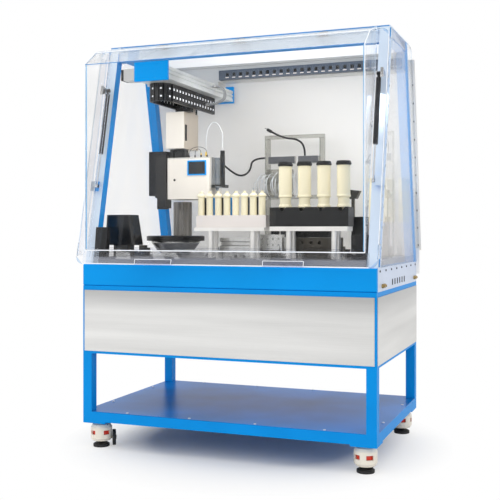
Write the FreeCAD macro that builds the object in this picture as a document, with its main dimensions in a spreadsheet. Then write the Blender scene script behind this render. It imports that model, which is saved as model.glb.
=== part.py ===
import FreeCAD, Part
import math
import os
import re
import Sketcher

V = FreeCAD.Vector
doc = FreeCAD.newDocument("dosing_system")
sheet = doc.addObject("Spreadsheet::Sheet", "Sizes")

# Driving sizes, all in millimetres
SIZES = [
    ("frame_width", 1400), ("frame_depth", 900), ("tube", 45), ("caster_height", 118),
    ("corner_plate", 8), ("corner_pad", 115), ("shelf_thick", 3), ("table_height", 762),
    ("panel_drop", 21), ("panel_high", 284), ("panel_border", 9), ("panel_thick", 3),
    ("plinth_high", 100), ("deck_thick", 33), ("hood_high", 1059), ("fascia_deep", 20),
    ("post_slope", 0.2252), ("post_deep", 46.13), ("rear_slope", 0.2), ("acrylic", 5),
    ("door_gap", 61), ("door_over", 13), ("bay_in", 51), ("bay_out", 49),
    ("bay_rise", 65), ("bay_drop", 133), ("hinge_back", 245), ("hinge_drop", 16),
    ("hinge_pin", 5), ("pin_gap", 0.35), ("slide_gap", 0.3), ("strut_in", 31),
    ("strut_out", 31), ("screw_radius", 4.5), ("beam_back", 560), ("beam_drop", 142),
    ("arm_hang", 76), ("arm_left", 411), ("arm_width", 165), ("arm_height", 56),
    ("chain_high", 83), ("link_long", 33), ("ram_wide", 55), ("ram_deep", 60),
    ("rack_back", 150), ("rack_deep", 44), ("stand_high", 122), ("post_radius", 13),
    ("pump_front", 200), ("small_pitch", 43), ("small_radius", 15), ("large_pitch", 89.5), ("large_radius",
                                                                                            29),
    ("bowl_radius", 146), ("shield_radius", 48), ("bottle_radius", 22), ("pad_radius", 38.5),
    ("housing_radius", 50), ("wheel_radius", 37), ("caster_in", 62),
]
for row, (alias, amount) in enumerate(SIZES, start=1):
    sheet.set("A%d" % row, alias)
    sheet.set("B%d" % row, str(amount))
    sheet.setAlias("B%d" % row, alias)
doc.recompute()
NAMES = {alias for alias, amount in SIZES}


def link(text):
    """Turn a rule in plain size names into an expression on the sheet."""
    return re.sub(r"[a-z]\w*", lambda m: "Sizes." + m.group() if m.group() in NAMES else m.group(),
                  str(text))


def size(rule):
    """The value of a rule now, for places where only a number can go."""
    scratch = doc.addObject("App::FeaturePython", "Scratch")
    scratch.addProperty("App::PropertyFloat", "Amount")
    scratch.setExpression("Amount", link(rule))
    scratch.recompute()
    amount = scratch.Amount
    doc.removeObject(scratch.Name)
    return amount


def bind(item, **rules):
    """Tie properties to rules; two underscores in a name stand for a dot."""
    for prop, rule in rules.items():
        item.setExpression(prop.replace("__", "."), link(rule))
    return item


def place(item, x=0, y=0, z=0):
    """Tie the placement of an item to three rules."""
    return bind(item, Placement__Base__x=x, Placement__Base__y=y, Placement__Base__z=z)


def box(x0, x1, y0, y1, z0, z1, label=None):
    """A block between six limits."""
    item = doc.addObject("Part::Box", "Block")
    bind(item, Length="(%s) - (%s)" % (x1, x0), Width="(%s) - (%s)" % (y1, y0), Height="(%s) - (%s)" % (z1,
                                                                                                        z0))
    place(item, x0, y0, z0)
    if label:
        item.Label = label
    return item


def rod(radius, length, x, y, z, axis="Z", label=None):
    """A round bar from a start point along X, Y or Z."""
    item = doc.addObject("Part::Cylinder", "Round")
    bind(item, Radius=radius, Height=length)
    turn = {"Z": (V(0, 0, 1), 0), "X": (V(0, 1, 0), 90), "Y": (V(1, 0, 0), -90)}[axis]
    item.Placement = FreeCAD.Placement(V(0, 0, 0), FreeCAD.Rotation(*turn))
    place(item, x, y, z)
    if label:
        item.Label = label
    return item


def cone(low, high, length, x, y, z):
    """A tapered round piece standing on a point."""
    item = doc.addObject("Part::Cone", "Taper")
    bind(item, Radius1=low, Radius2=high, Height=length)
    return place(item, x, y, z)


def group(label, items):
    """Separate solids that share one name."""
    item = doc.addObject("Part::Compound", "Group")
    item.Links = items
    item.Label = label
    return item


def fuse(items, label=None):
    """One solid from several that meet."""
    item = doc.addObject("Part::MultiFuse", "Joined")
    item.Shapes = items
    item.Refine = True
    if label:
        item.Label = label
    return item


def cut(base, tools, label=None):
    """A solid with others taken away."""
    item = doc.addObject("Part::Cut", "Cut")
    item.Base = base
    item.Tool = tools[0] if len(tools) == 1 else group("cutters", tools)
    if label:
        item.Label = label
    return item


def plane_of(body, name):
    """One of the three origin planes of a body."""
    return [item for item in body.Origin.OriginFeatures if item.Role == name + "_Plane"][0]


def trace(sketch, points):
    """A closed outline whose corners follow pairs of rules."""
    spots = [V(size(a), size(b), 0) for a, b in points]
    count = len(spots)
    first = sketch.GeometryCount
    for n in range(count):
        sketch.addGeometry(Part.LineSegment(spots[n], spots[(n + 1) % count]))
    for n in range(count):
        sketch.addConstraint(Sketcher.Constraint("Coincident", first + n, 2, first + (n + 1) % count, 1))
    for n, (a, b) in enumerate(points):
        for way, rule, amount in (("DistanceX", a, spots[n].x), ("DistanceY", b, spots[n].y)):
            at = sketch.addConstraint(Sketcher.Constraint(way, -1, 1, first + n, 1, amount))
            sketch.setExpression("Constraints[%d]" % at, link(rule))


def ring(sketch, x, y, radius):
    """A circle whose middle and radius follow rules."""
    at = sketch.addGeometry(Part.Circle(V(size(x), size(y), 0), V(0, 0, 1), size(radius)))
    for way, rule in (("DistanceX", x), ("DistanceY", y)):
        n = sketch.addConstraint(Sketcher.Constraint(way, -1, 1, at, 3, size(rule)))
        sketch.setExpression("Constraints[%d]" % n, link(rule))
    n = sketch.addConstraint(Sketcher.Constraint("Radius", at, size(radius)))
    sketch.setExpression("Constraints[%d]" % n, link(radius))


def draw(body, plane, outlines, circles=()):
    """A sketch on an origin plane of a body."""
    sketch = body.newObject("Sketcher::SketchObject", "Outline")
    sketch.AttachmentSupport = (plane_of(body, plane), [""])
    sketch.MapMode = "FlatFace"
    for outline in outlines:
        trace(sketch, outline)
    for circle in circles:
        ring(sketch, *circle)
    return sketch


def prism(plane, outlines, length, x=0, y=0, z=0, label=None, circles=(), rounds=None):
    """A body padded from outlines; the YZ plane pads along +X, the XZ plane along -Y."""
    body = doc.addObject("PartDesign::Body", "Body")
    sketch = draw(body, plane, outlines, circles)
    pad = body.newObject("PartDesign::Pad", "Pad")
    pad.Profile = sketch
    bind(pad, Length=length)
    place(body, x, y, z)
    if rounds:
        radius, chosen = rounds
        doc.recompute()
        edges = ["Edge%d" % (n + 1) for n, e in enumerate(pad.Shape.Edges) if chosen(e)]
        soft = body.newObject("PartDesign::Fillet", "Rounded")
        soft.Base = (pad, edges)
        bind(soft, Radius=radius)
    if label:
        body.Label = label
    return body


def turned(profile, x, y, z, label=None, axis="Z"):
    """A body turned about the vertical through a point, from a half outline of radius and height."""
    body = doc.addObject("PartDesign::Body", "Turned")
    sketch = draw(body, "XZ", [profile])
    spin = body.newObject("PartDesign::Revolution", "Spin")
    spin.Profile = sketch
    spin.ReferenceAxis = (sketch, ["V_Axis"])
    spin.Angle = 360
    turn = {"Z": (V(0, 0, 1), 0), "X": (V(0, 1, 0), 90), "Y": (V(1, 0, 0), -90)}[axis]
    body.Placement = FreeCAD.Placement(V(0, 0, 0), FreeCAD.Rotation(*turn))
    place(body, x, y, z)
    if label:
        body.Label = label
    return body


def hose(radius, points, label=None):
    """A round cord along straight runs joined by tangent arcs."""
    spots = [V(*p) for p in points]
    edges = []
    last = spots[0]
    for n in range(1, len(spots) - 1):
        a = spots[n - 1] - spots[n]
        b = spots[n + 1] - spots[n]
        turn = math.pi - a.getAngle(b)
        bend = 0.45 * min(a.Length, b.Length) / math.tan(turn / 2)
        reach = bend * math.tan(turn / 2)
        a.normalize()
        b.normalize()
        start = spots[n] + a * reach
        end = spots[n] + b * reach
        inward = a + b
        inward.normalize()
        middle = spots[n] + inward * (bend / math.cos(turn / 2) - bend)
        edges.append(Part.LineSegment(last, start).toShape())
        edges.append(Part.Arc(start, middle, end).toShape())
        last = end
        print("bend radius %.1f for radius %.1f" % (bend, radius))
    edges.append(Part.LineSegment(last, spots[-1]).toShape())
    path = Part.Wire(edges)
    way = spots[1] - spots[0]
    section = Part.Wire(Part.Circle(spots[0], way, radius).toShape())
    solid = path.makePipeShell([section], True, True)
    print("volume against section by length: %.4f" % (solid.Volume / (math.pi * radius ** 2 * path.Length)))
    item = doc.addObject("Part::Feature", "Cord")
    item.Shape = solid
    if label:
        item.Label = label
    return item


# Limits and levels that the pieces share, as rules
left = "(-frame_width / 2)"
right = "(frame_width / 2)"
front = "(-frame_depth / 2)"
rear = "(frame_depth / 2)"
plinth = "(table_height + plinth_high)"
deck = "(table_height + plinth_high + deck_thick)"
roof = "(table_height + plinth_high + hood_high)"
wall_foot = f"({plinth} + 69)"
door_half = "(frame_width / 2 + door_over)"
bay_half = "(frame_width / 2 + door_over - bay_in)"
hinge_y = "(hinge_back - frame_depth / 2)"
hinge_z = f"({roof} - hinge_drop)"
beam_y = "(beam_back - frame_depth / 2)"
beam_z = f"({roof} - beam_drop)"
arm_x = "(-arm_left)"
arm_z = f"({roof} - beam_drop - arm_hang)"
head_z = f"({roof} - beam_drop - arm_hang - 531)"
head_top = f"({head_z} + 202)"
bay_face = "(-frame_depth / 2 - bay_out)"
bay_z = f"({plinth} + bay_rise)"
bay_top = f"({roof} - bay_drop)"
rack_y = "(rack_back - frame_depth / 2)"
pump_y = "(frame_depth / 2 - pump_front)"
slant = "sqrt(1 + post_slope * post_slope)"
skin = f"(acrylic * {slant})"


def post_line(z, back=0):
    """Front edge of an inclined post at a height, moved back by an amount."""
    return f"({front} + fascia_deep + (({z}) - {plinth}) * post_slope + ({back}))"


def sheet_line(z, out=0):
    """Inner face of the sloping door sheet at a height; out moves it towards the front."""
    return post_line(z, f"-door_gap - ({out})")


door_reach = sheet_line(f"{plinth} + 4", f"12 + {skin}")


def rear_face(z, deep=0):
    """Outer face of the sloping rear wall at a height, or a depth inside it."""
    return f"(-{door_reach} - (({z}) - {wall_foot}) * rear_slope - ({deep}))"


def long_edge(edge):
    """True for an edge that runs up a piece."""
    return abs(edge.BoundBox.ZLength) > 50


# Welded table frame: legs, rails and the corner plates that carry the casters
pad_top = "(caster_height + corner_plate)"
frame_bits = []
for x0, px in ((left, left), (f"{right} - tube", f"{right} - corner_pad")):
    for y0, py in ((front, front), (f"{rear} - tube", f"{rear} - corner_pad")):
        frame_bits.append(box(x0, f"{x0} + tube", y0, f"{y0} + tube", pad_top, "table_height"))
        frame_bits.append(box(px, f"{px} + corner_pad", py, f"{py} + corner_pad", "caster_height", pad_top))
panel_foot = "(table_height - panel_drop - panel_high)"
for level in (pad_top, f"{panel_foot} - 12", "table_height - tube"):
    for y0 in (front, f"{rear} - tube"):
        frame_bits.append(box(f"{left} + tube", f"{right} - tube", y0, f"{y0} + tube", level,
                              f"{level} + tube"))
    for x0 in (left, f"{right} - tube"):
        frame_bits.append(box(x0, f"{x0} + tube", f"{front} + tube", f"{rear} - tube", level,
                              f"{level} + tube"))
group("base_frame", frame_bits)

# Sheet shelf that lies on the low rails, notched for the legs
shelf_z = "(caster_height + corner_plate + tube)"
inset = "tube + 1"
shelf_outline = [
    (f"{left} + {inset}", front), (f"{right} - ({inset})", front),
    (f"{right} - ({inset})", f"{front} + {inset}"), (right, f"{front} + {inset}"),
    (right, f"{rear} - ({inset})"), (f"{right} - ({inset})", f"{rear} - ({inset})"),
    (f"{right} - ({inset})", rear), (f"{left} + {inset}", rear),
    (f"{left} + {inset}", f"{rear} - ({inset})"), (left, f"{rear} - ({inset})"),
    (left, f"{front} + {inset}"), (f"{left} + {inset}", f"{front} + {inset}"),
]
prism("XY", [shelf_outline], "shelf_thick", z=shelf_z, label="bottom_shelf")

# Brushed steel panels set on the outside of the frame
edge_in = "panel_border"
panel_top = "table_height - panel_drop"
group("cabinet_panels", [
    box(f"{left} + {edge_in}", f"{right} - {edge_in}", f"{front} - panel_thick", front, panel_foot,
        panel_top),
    box(f"{left} + {edge_in}", f"{right} - {edge_in}", rear, f"{rear} + panel_thick", panel_foot,
        panel_top),
    box(right, f"{right} + panel_thick", f"{front} + {edge_in}", f"{rear} - {edge_in}", panel_foot,
        panel_top),
    box(f"{left} - panel_thick", left, f"{front} + {edge_in}", f"{rear} - {edge_in}", panel_foot,
        panel_top),
])

# Plinth: closed service housing with vented side plates and pipe sockets
plinth_front = f"{front} + fascia_deep"
vents = [box(f"{right} - 12", f"{right} + 1", y, y + 24, "table_height + 15", "table_height + 42")
         for y in range(-147, 160, 54)]
sockets = []
for y in (f"{front} + 98", f"{front} + 132", f"{rear} - 72", f"{rear} - 42"):
    sockets.append(rod(9, 9, right, y, "table_height + 22", "X"))
    sockets.append(rod(5, 5, f"{right} + 9", y, "table_height + 22", "X"))
group("plinth", [
    box(f"{left} + 10", f"{right} - 10", plinth_front, rear, "table_height", plinth),
    cut(box(f"{right} - 10", right, plinth_front, rear, "table_height", plinth), vents),
    box(left, f"{left} + 10", plinth_front, rear, "table_height", plinth),
] + sockets)
fascia_outline = [(front, "table_height"), (plinth_front, "table_height"), (plinth_front, plinth), (front,
                                                                                                    plinth)]
face_y = size(front)
prism("YZ", [fascia_outline], "frame_width", x=left, label="front_fascia",
      rounds=(8, lambda e: abs(e.BoundBox.XLength) > 100 and e.BoundBox.YMax < face_y + 1))

# Steel deck with clamping grooves
grooves = [box(f"{left} + 60", f"{right} - 60", y, f"{y} + 10", f"{deck} - 8", f"{deck} + 1")
           for y in (f"{front} + 30", f"{front} + 240", f"{rear} - 280", f"{rear} - 40")]
cut(box(f"{left} + 48", f"{right} - 48", f"{front} + 12", f"{rear} - 12", plinth, deck), grooves,
    label="deck_plate")

# Sloping posts of the hood with the clamps that hold the gas struts
front_post = [(post_line(plinth), plinth), (post_line(plinth, "post_deep"), plinth),
              (post_line(roof, "post_deep"), roof), (post_line(roof), roof)]
rear_post = [(f"-{a}", b) for a, b in front_post]
strut_low = f"({plinth} + 369)"
strut_high = f"({roof} - 221)"
clamp_outline = [(post_line(f"{strut_low} - 23", -34), f"{strut_low} - 23"),
                 (post_line(f"{strut_low} - 23"), f"{strut_low} - 23"),
                 (post_line(f"{strut_low} + 23"), f"{strut_low} + 23"),
                 (post_line(f"{strut_low} + 23", -34), f"{strut_low} + 23")]
posts = []
for x0 in (left, f"{right} - tube"):
    posts.append(prism("YZ", [front_post], "tube", x=x0))
    posts.append(prism("YZ", [rear_post], "tube", x=x0))
posts.append(prism("YZ", [clamp_outline], 24, x=left))
posts.append(prism("YZ", [clamp_outline], 24, x=f"{right} - 24"))
group("hood_posts", posts)

# Beams between the post heads, and the fixed hinge rod of the door
rail_low = f"({roof} - tube)"
side_rail = [(post_line(rail_low, "post_deep"), rail_low), (f"-{post_line(rail_low, 'post_deep')}",
                                                            rail_low),
             (f"-{post_line(roof, 'post_deep')}", roof), (post_line(roof, "post_deep"), roof)]
beams = [box(f"{left} + tube", f"{right} - tube", f"{hinge_y} + 14", f"{hinge_y} + 55", f"{roof} - 69",
             roof),
         box(f"{left} + tube", f"{right} - tube", f"-{hinge_y} - 55", f"-{hinge_y} - 14", f"{roof} - 42",
             roof)]
for x0 in (left, f"{right} - tube"):
    beams.append(prism("YZ", [side_rail], "tube", x=x0))
beams.append(rod("hinge_pin", "frame_width - 2 * tube - 40", f"{left} + tube + 20", hinge_y, hinge_z, "X"))
for x0 in (f"{left} + tube + 8", f"{right} - tube - 20"):
    beams.append(box(x0, f"{x0} + 12", f"{hinge_y} - 8", f"{hinge_y} + 14", f"{hinge_z} - 13",
                     f"{hinge_z} + 13"))
group("hood_beams", beams)

# Clear roof that turns down over the rear, and the clear side walls
wall_top = f"({roof} - 59)"
turn_y = rear_face(wall_top)
roof_outline = [(f"{hinge_y} + 15", roof), (f"{turn_y} - 51", roof), (f"{turn_y} - 28", f"{roof} - 7"),
                (f"{turn_y} - 14", f"{roof} - 24"), (f"{turn_y} - 6", wall_top), (turn_y, wall_top),
                (rear_face(f"{roof} - 25"), f"{roof} - 22"), (f"{turn_y} - 24", f"{roof} - 2"),
                (f"{turn_y} - 49", f"{roof} + 6"), (f"{hinge_y} + 15", f"{roof} + 6")]
side_foot = f"({plinth} + 2)"
side_outline = [(post_line(side_foot, 12), side_foot), (f"-{post_line(side_foot)} - 2", side_foot),
                (f"-{post_line(wall_foot)}", wall_foot), (rear_face(wall_foot, 12), wall_foot),
                (rear_face(wall_top, 12), wall_top), (f"{turn_y} - 22", f"{roof} - 26"),
                (f"{turn_y} - 34", f"{roof} - 12"), (f"{turn_y} - 53", f"{roof} - 4"),
                (post_line(f"{roof} - 4", 4), f"{roof} - 4")]
group("clear_panels", [
    prism("YZ", [roof_outline], "frame_width", x=left),
    prism("YZ", [side_outline], "acrylic", x=right),
    prism("YZ", [side_outline], "acrylic", x=f"{left} - acrylic"),
])

# Sloping rear wall with the ledge and skirt below it
rear_outline = [(rear_face(wall_foot, 12), wall_foot), (rear_face(wall_top, 12), wall_top),
                (rear_face(wall_top), wall_top), (rear_face(wall_foot), wall_foot)]
group("rear_wall", [
    prism("YZ", [rear_outline], "frame_width + 30", x=f"{left} - 15"),
    box(f"{left} - 15", f"{right} + 15", rear, rear_face(wall_foot), f"{wall_foot} - 12", wall_foot),
    box(f"{left} - 15", f"{right} + 15", rear, f"{rear} + 6", f"{plinth} - 62", f"{wall_foot} - 12"),
])

# Screw heads along the walls, the service plates and the shelf
screws = []
for n in range(10):
    z = f"({plinth} + 83 + {n} * (hood_high - 267) / 9)"
    for x0 in (f"{right} + acrylic", f"{left} - acrylic - 3"):
        screws.append(rod("screw_radius", 3, x0, post_line(z, 20), z, "X"))
        screws.append(rod("screw_radius", 3, x0, rear_face(z, 30), z, "X"))
for n in range(8):
    y = f"{front} + 59 + {n} * (frame_depth - 95) / 7"
    for x0 in (right, f"{left} - 3"):
        screws.append(rod("screw_radius", 3, x0, y, f"{plinth} - 14", "X"))
for n in (-1.5, -0.5, 0.5, 1.5):
    for y in (f"{front} + 12", f"{rear} - 12"):
        screws.append(rod("screw_radius + 1.5", 3, f"{n} * frame_width * 0.225", y,
                          f"{shelf_z} + shelf_thick"))
for x0 in (f"{left} + 25", f"{right} - 25"):
    for y in (f"{front} + 239", f"{rear} - 239"):
        screws.append(rod("screw_radius + 1.5", 3, x0, y, f"{shelf_z} + shelf_thick"))
group("panel_screws", screws)

# Cross beam with its white cover strip, and the cable chain in its tray
beam_outline = [(beam_y, beam_z), (f"{beam_y} + 80", beam_z), (f"{beam_y} + 80", f"{beam_z} + 85"),
                (f"{beam_y} + 24", f"{beam_z} + 85"), (f"{beam_y} + 24", f"{beam_z} + 136"),
                (beam_y, f"{beam_z} + 136"), (beam_y, f"{beam_z} + 74"), (f"{beam_y} + 4",
                                                                          f"{beam_z} + 72"),
                (f"{beam_y} + 4", f"{beam_z} + 66"), (beam_y, f"{beam_z} + 64")]
group("x_beam", [
    prism("YZ", [beam_outline], "frame_width - 2 * tube", x=f"{left} + tube"),
    box(f"{left} + tube + 1", f"{right} - tube - 1", f"{beam_y} - 6", beam_y, f"{beam_z} + 83",
        f"{beam_z} + 139"),
])
chain_windows = [box(f"{right} - 70 - {36 * n}", f"{right} - 53 - {36 * n}", f"{beam_y} - 30",
                     f"{beam_y} - 6",
                     f"{beam_z} + 20", f"{beam_z} + 36") for n in range(24)]
cut(box(f"{right} - 936", f"{right} - tube - 2", f"{beam_y} - 24", beam_y, f"{beam_z} + 4",
        f"{beam_z} + 52"),
    chain_windows, label="x_chain")

# Arm that runs front to back below the beam, a grooved profile with end caps
grooves_in = [(0, 16), (5, 18), (5, 23), (0, 25), (0, 34), (5, 36), (5, 41), (0, 43)]
arm_outline = [(0, 0), ("arm_width", 0)]
arm_outline += [(f"arm_width - {a}", b) for a, b in grooves_in]
arm_outline += [("arm_width", "arm_height"), (0, "arm_height")]
arm_outline += list(reversed(grooves_in))
arm_front = f"({bay_face} + 29)"
arm_rear = f"({rear} - 147)"
prism("XZ", [arm_outline], f"{arm_rear} - {arm_front}", x=arm_x, y=arm_rear, z=arm_z, label="y_arm")
arm_right = f"({arm_x} + arm_width)"
group("arm_end_caps", [
    box(f"{arm_x} - 2", f"{arm_right} + 2", f"{arm_front} - 12", arm_front, f"{arm_z} - 7",
        f"{arm_z} + 80"),
    box(f"{arm_x} - 2", f"{arm_right} + 2", arm_rear, f"{arm_rear} + 12", f"{arm_z} - 7", f"{arm_z} + 80"),
])
group("y_motor", [
    box(f"{arm_x} - 64", arm_x, f"{arm_front} + 2", f"{arm_front} + 68", f"{arm_z} + 2", f"{arm_z} + 56"),
    box(f"{arm_x} - 78", f"{arm_x} - 64", f"{arm_front} + 4", f"{arm_front} + 66", f"{arm_z} + 4",
        f"{arm_z} + 54"),
])
arm_top = f"({arm_z} + arm_height)"
group("x_carriage", [
    box(arm_x, arm_right, f"{beam_y} - 10", f"{beam_y} + 90", arm_top, beam_z),
    box(f"{arm_x} + 30", f"{arm_right} - 60", f"{beam_y} - 60", f"{beam_y} - 10", arm_top, f"{beam_z} + 2"),
])

# Energy chain under the arm: two rows of open links joined round the front by a bend
chain_z = f"({arm_z} - chain_high)"
chain_y = f"({arm_front} + 140)"
links = []
for n in range(15):
    y = f"({chain_y} + {n} * link_long)"
    for x0 in (f"{arm_x} + 6", f"{arm_x} + 105"):
        windows = [box(f"{x0} - 1", f"{x0} + 15", f"{y} + 8", f"{y} + link_long - 10", f"{chain_z} + {low}",
                       f"{chain_z} + {low} + 20") for low in (12, 48)]
        links.append(cut(box(x0, f"{x0} + 14", y, f"{y} + link_long", chain_z, arm_z), windows))
for n in range(7):
    piece = prism("XY", [[(42.5, -9), (56.5, -9), (56.5, 9), (42.5, 9)]], "chain_high", x=f"{arm_x} + 62.5",
                  y=chain_y, z=chain_z)
    piece.Placement.Rotation = FreeCAD.Rotation(V(0, 0, 1), 180 + 22.5 * (n + 1))
    links.append(piece)
group("arm_chain", links)
side_x = size(arm_right)
hose_z = size(arm_z)
inner_x = size(f"{arm_x} + 119")
hoses = [hose(4, [(side_x, y, hose_z + 42), (side_x + 61, y, hose_z + 42), (side_x + 61, y, hose_z - 48),
                  (inner_x, y, hose_z - 48)]) for y in (36, 56)]
group("arm_hoses", hoses)

# Column that carries the head, hollow for the sliding ram
column_z = f"({arm_z} - 279)"
ram_x = f"({arm_x} - 4)"
column = cut(box(f"{arm_x} - 26", f"{arm_x} + 73", -110, 59, column_z, f"{column_z} + 180"), [
    box(f"{ram_x} - slide_gap", f"{ram_x} + ram_wide + slide_gap", "-ram_deep - slide_gap", "slide_gap",
        f"{column_z} - 1", f"{column_z} + 176"),
    box(f"{arm_x} + 70", f"{arm_x} + 74", -88, -80, f"{column_z} + 31", f"{column_z} + 118"),
])
group("z_column", [column, box(f"{arm_x} + 26", f"{arm_x} + 66", -60, 40, f"{column_z} + 180", arm_z)])

# Dosing head with its ram, plugs and display
head_left = f"({arm_x} - 4)"
head_right = f"({arm_x} + 221)"
head_body = prism("XY", [[(head_left, -143), (head_right, -143), (head_right, 25), (head_left, 25)]], 202,
                  z=head_z, rounds=(8, long_edge))
head_shell = cut(head_body, [rod(6, 8, f"{arm_x} + 37", -144, f"{head_z} + 94", "Y")])
plugs = [
    prism("XY", [[(f"{arm_x} + 22", -118), (f"{arm_x} + 76", -118), (f"{arm_x} + 76", -94),
                  (f"{arm_x} + 22", -94)]], 30, z=head_top, rounds=(9,
                                                                    lambda e: abs(e.BoundBox.ZLength) > 20)),
    box(f"{arm_x} - 2", f"{arm_x} + 14", -112, -84, head_top, f"{head_top} + 44"),
]
for n in range(4):
    plugs.append(rod(4, 14, f"{arm_x} + 96 + {n} * 32", -100, head_top))
ram = box(ram_x, f"{ram_x} + ram_wide", "-ram_deep", 0, head_top, f"{column_z} + 173")
group("dosing_head", [head_shell, ram] + plugs)
group("head_display", [
    cut(box(f"{arm_x} + 108", f"{arm_x} + 207", -147, -143, f"{head_z} + 115", f"{head_z} + 187"),
        [box(f"{arm_x} + 114", f"{arm_x} + 201", -148, -145, f"{head_z} + 121", f"{head_z} + 181")]),
    box(f"{arm_x} + 114", f"{arm_x} + 201", -146, -145, f"{head_z} + 121", f"{head_z} + 181"),
])
plug_x = size(f"{arm_x} + 96")
plug_z = size(head_top) + 14
tool_x = size(f"{head_right} + 52")
tool_z = size(f"{head_z} + 234")
wide_loop = [(0, 0), (0, 20), (18, 36), (48, 42), (78, 36), (96, 20), (96, 0)]
short_loop = [(32, 0), (32, 16), (40, 30), (56, 30), (64, 16), (64, 0)]
loops = [hose(1.2, [(plug_x + x, -100, plug_z + z) for x, z in loop]) for loop in (wide_loop, short_loop)]
loops.append(hose(1.6, [
    (tool_x - 94, -84, plug_z - 14), (tool_x - 94, -84, plug_z + 34), (tool_x - 93, -84, plug_z + 84),
    (tool_x - 85, -84, plug_z + 132), (tool_x - 60, -84, plug_z + 163), (tool_x - 28, -84, plug_z + 152),
    (tool_x - 8, -88, plug_z + 112), (tool_x, -95, tool_z + 82), (tool_x, -98, tool_z + 42), (tool_x, -98,
                                                                                              tool_z),
]))
group("head_hoses", loops)

# Powder tool on the left of the head and syringe tool on its right
powder_outline = [(-115, 19), (-81, 19), (-81, 8), (-70, 8), (-70, -47), (-35, -47), (-35, -42), (-21, -42),
                  (-21, 238), (-115, 238)]
group("powder_tool", [
    prism("XZ", [[(f"{arm_x} + {a}", f"{head_z} + {b}") for a, b in powder_outline]], 60, y=-60),
    box(f"{arm_x} - 21", head_left, -110, -70, f"{head_z} + 58", f"{head_z} + 178"),
])
group("syringe_tool", [
    box(head_right, f"{head_right} + 6", -125, -65, f"{head_z} + 54", f"{head_z} + 204"),
    box(f"{head_right} + 6", f"{head_right} + 72", -128, -70, f"{head_z} + 54", f"{head_z} + 68"),
    rod(13, 132, f"{head_right} + 24", -98, f"{head_z} + 68"),
    box(f"{head_right} + 44", f"{head_right} + 60", -110, -86, f"{head_z} + 68", f"{head_z} + 212"),
    rod(11, 22, f"{head_right} + 52", -98, f"{head_z} + 212"),
    cone(4, 9, 14, f"{head_right} + 24", -98, f"{head_z} + 40"),
])

# Standing posts and carrier plates of the two racks, and the fixed deck blocks
stand_top = f"({deck} + stand_high)"
stands = []
for x0 in (-100, 106, 277, 485):
    for y in (f"{rack_y} - 29", f"{rack_y} + 29"):
        stands.append(rod("post_radius", "stand_high", x0, y, deck))
stands.append(box(-176, 166, f"{rack_y} - 45", f"{rack_y} + 45", stand_top, f"{stand_top} + 16"))
stands.append(box(192, 548, f"{rack_y} - 45", f"{rack_y} + 45", stand_top, f"{stand_top} + 20"))
rail_y = f"({rack_y} + 64)"
rail_outline = [(rail_y, deck), (f"{rail_y} + 68", deck), (f"{rail_y} + 68", f"{deck} + 90"),
                (rail_y, f"{deck} + 90"), (rail_y, f"{deck} + 74"), (f"{rail_y} + 16", f"{deck} + 70"),
                (f"{rail_y} + 16", f"{deck} + 56"), (rail_y, f"{deck} + 52")]
stands.append(prism("YZ", [rail_outline], 187, x=-95))
dots = [rod(5, 14, 118 + 26 * n, f"{rail_y} - 1", f"{deck} + {level}", "Y") for n in range(4)
        for level in (30, 58, 86)]
stands.append(cut(box(100, 214, rail_y, f"{rail_y} + 76", deck, f"{deck} + 106"), dots))
slots = [box(250, 460, f"{rail_y} - 1", f"{rail_y} + 12", f"{deck} + {low}", f"{deck} + {low + 12}")
         for low in (14, 36)]
ports = [rod(8, 20, 272 + 40 * n, f"{rail_y} - 1", f"{deck} + 70", "Y") for n in range(4)]
stands.append(cut(box(232, 480, rail_y, f"{rail_y} + 76", deck, f"{deck} + 92"), slots + ports))
tray = box(f"{right} - 140", f"{right} - 52", f"{rack_y} - 30", f"{rack_y} + 120", deck, f"{deck} + 105")
pocket = box(f"{right} - 132", f"{right} - 60", f"{rack_y} - 22", f"{rack_y} + 112", f"{deck} + 95",
             f"{deck} + 106")
ribs = [box(f"{right} - 132", f"{right} - 60", f"{rack_y} - 31", f"{rack_y} - 24", f"{deck} + {low}",
            f"{deck} + {low + 8}") for low in (16, 36, 56)]
stands.append(cut(tray, [pocket] + ribs))
group("deck_fixtures", stands)
box(-176, 166, f"{rack_y} - rack_deep / 2", f"{rack_y} + rack_deep / 2", f"{stand_top} + 16",
    f"{stand_top} + 72",
    label="small_rack")
rack_foot = f"({stand_top} + 20)"
notched = [(192, rack_foot), (552, rack_foot), (552, f"{rack_foot} + 85")]
for n in range(3, -1, -1):
    x0 = f"251 + {n} * large_pitch"
    notched += [(f"{x0} + 17", f"{rack_foot} + 85"), (f"{x0} + 3", f"{rack_foot} + 67"),
                (f"{x0} - 3", f"{rack_foot} + 67"), (f"{x0} - 17", f"{rack_foot} + 85")]
notched.append((192, f"{rack_foot} + 85"))
prism("XZ", [notched], "2 * rack_deep + 2", y=f"{rack_y} + rack_deep + 1", label="large_rack")

# Hoppers: turned plastic containers that lift out of the racks
small_z = f"({stand_top} + 72)"
small_shape = [("-small_radius", 0), (0, 0), (0, 79), (-1.5, 82), (4, 85), (4, 91), (-1, 97), (-7, 101),
               (-7, 111),
               ("-small_radius", 111)]
small_profile = [(f"small_radius + {a}", f"{small_z} + {b}") for a, b in small_shape]
group("small_hoppers", [turned(small_profile, f"-160 + {n} * small_pitch", rack_y, 0) for n in range(8)])
large_z = f"({rack_foot} + 71)"
large_shape = [("-large_radius", 0), (-25, 0), (-18, 14), (1, 14), (1, 20), (-4, 28), (-4, 56), (2, 60), (2,
                                                                                                          65),
               (0, 69), (0, 197), (5, 200), (5, 205), (1, 216), ("-large_radius", 216)]
large_profile = [(f"large_radius + {a}", f"{large_z} + {b}") for a, b in large_shape]
group("large_hoppers", [turned(large_profile, f"251 + {n} * large_pitch", rack_y, 0) for n in range(4)])

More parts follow.
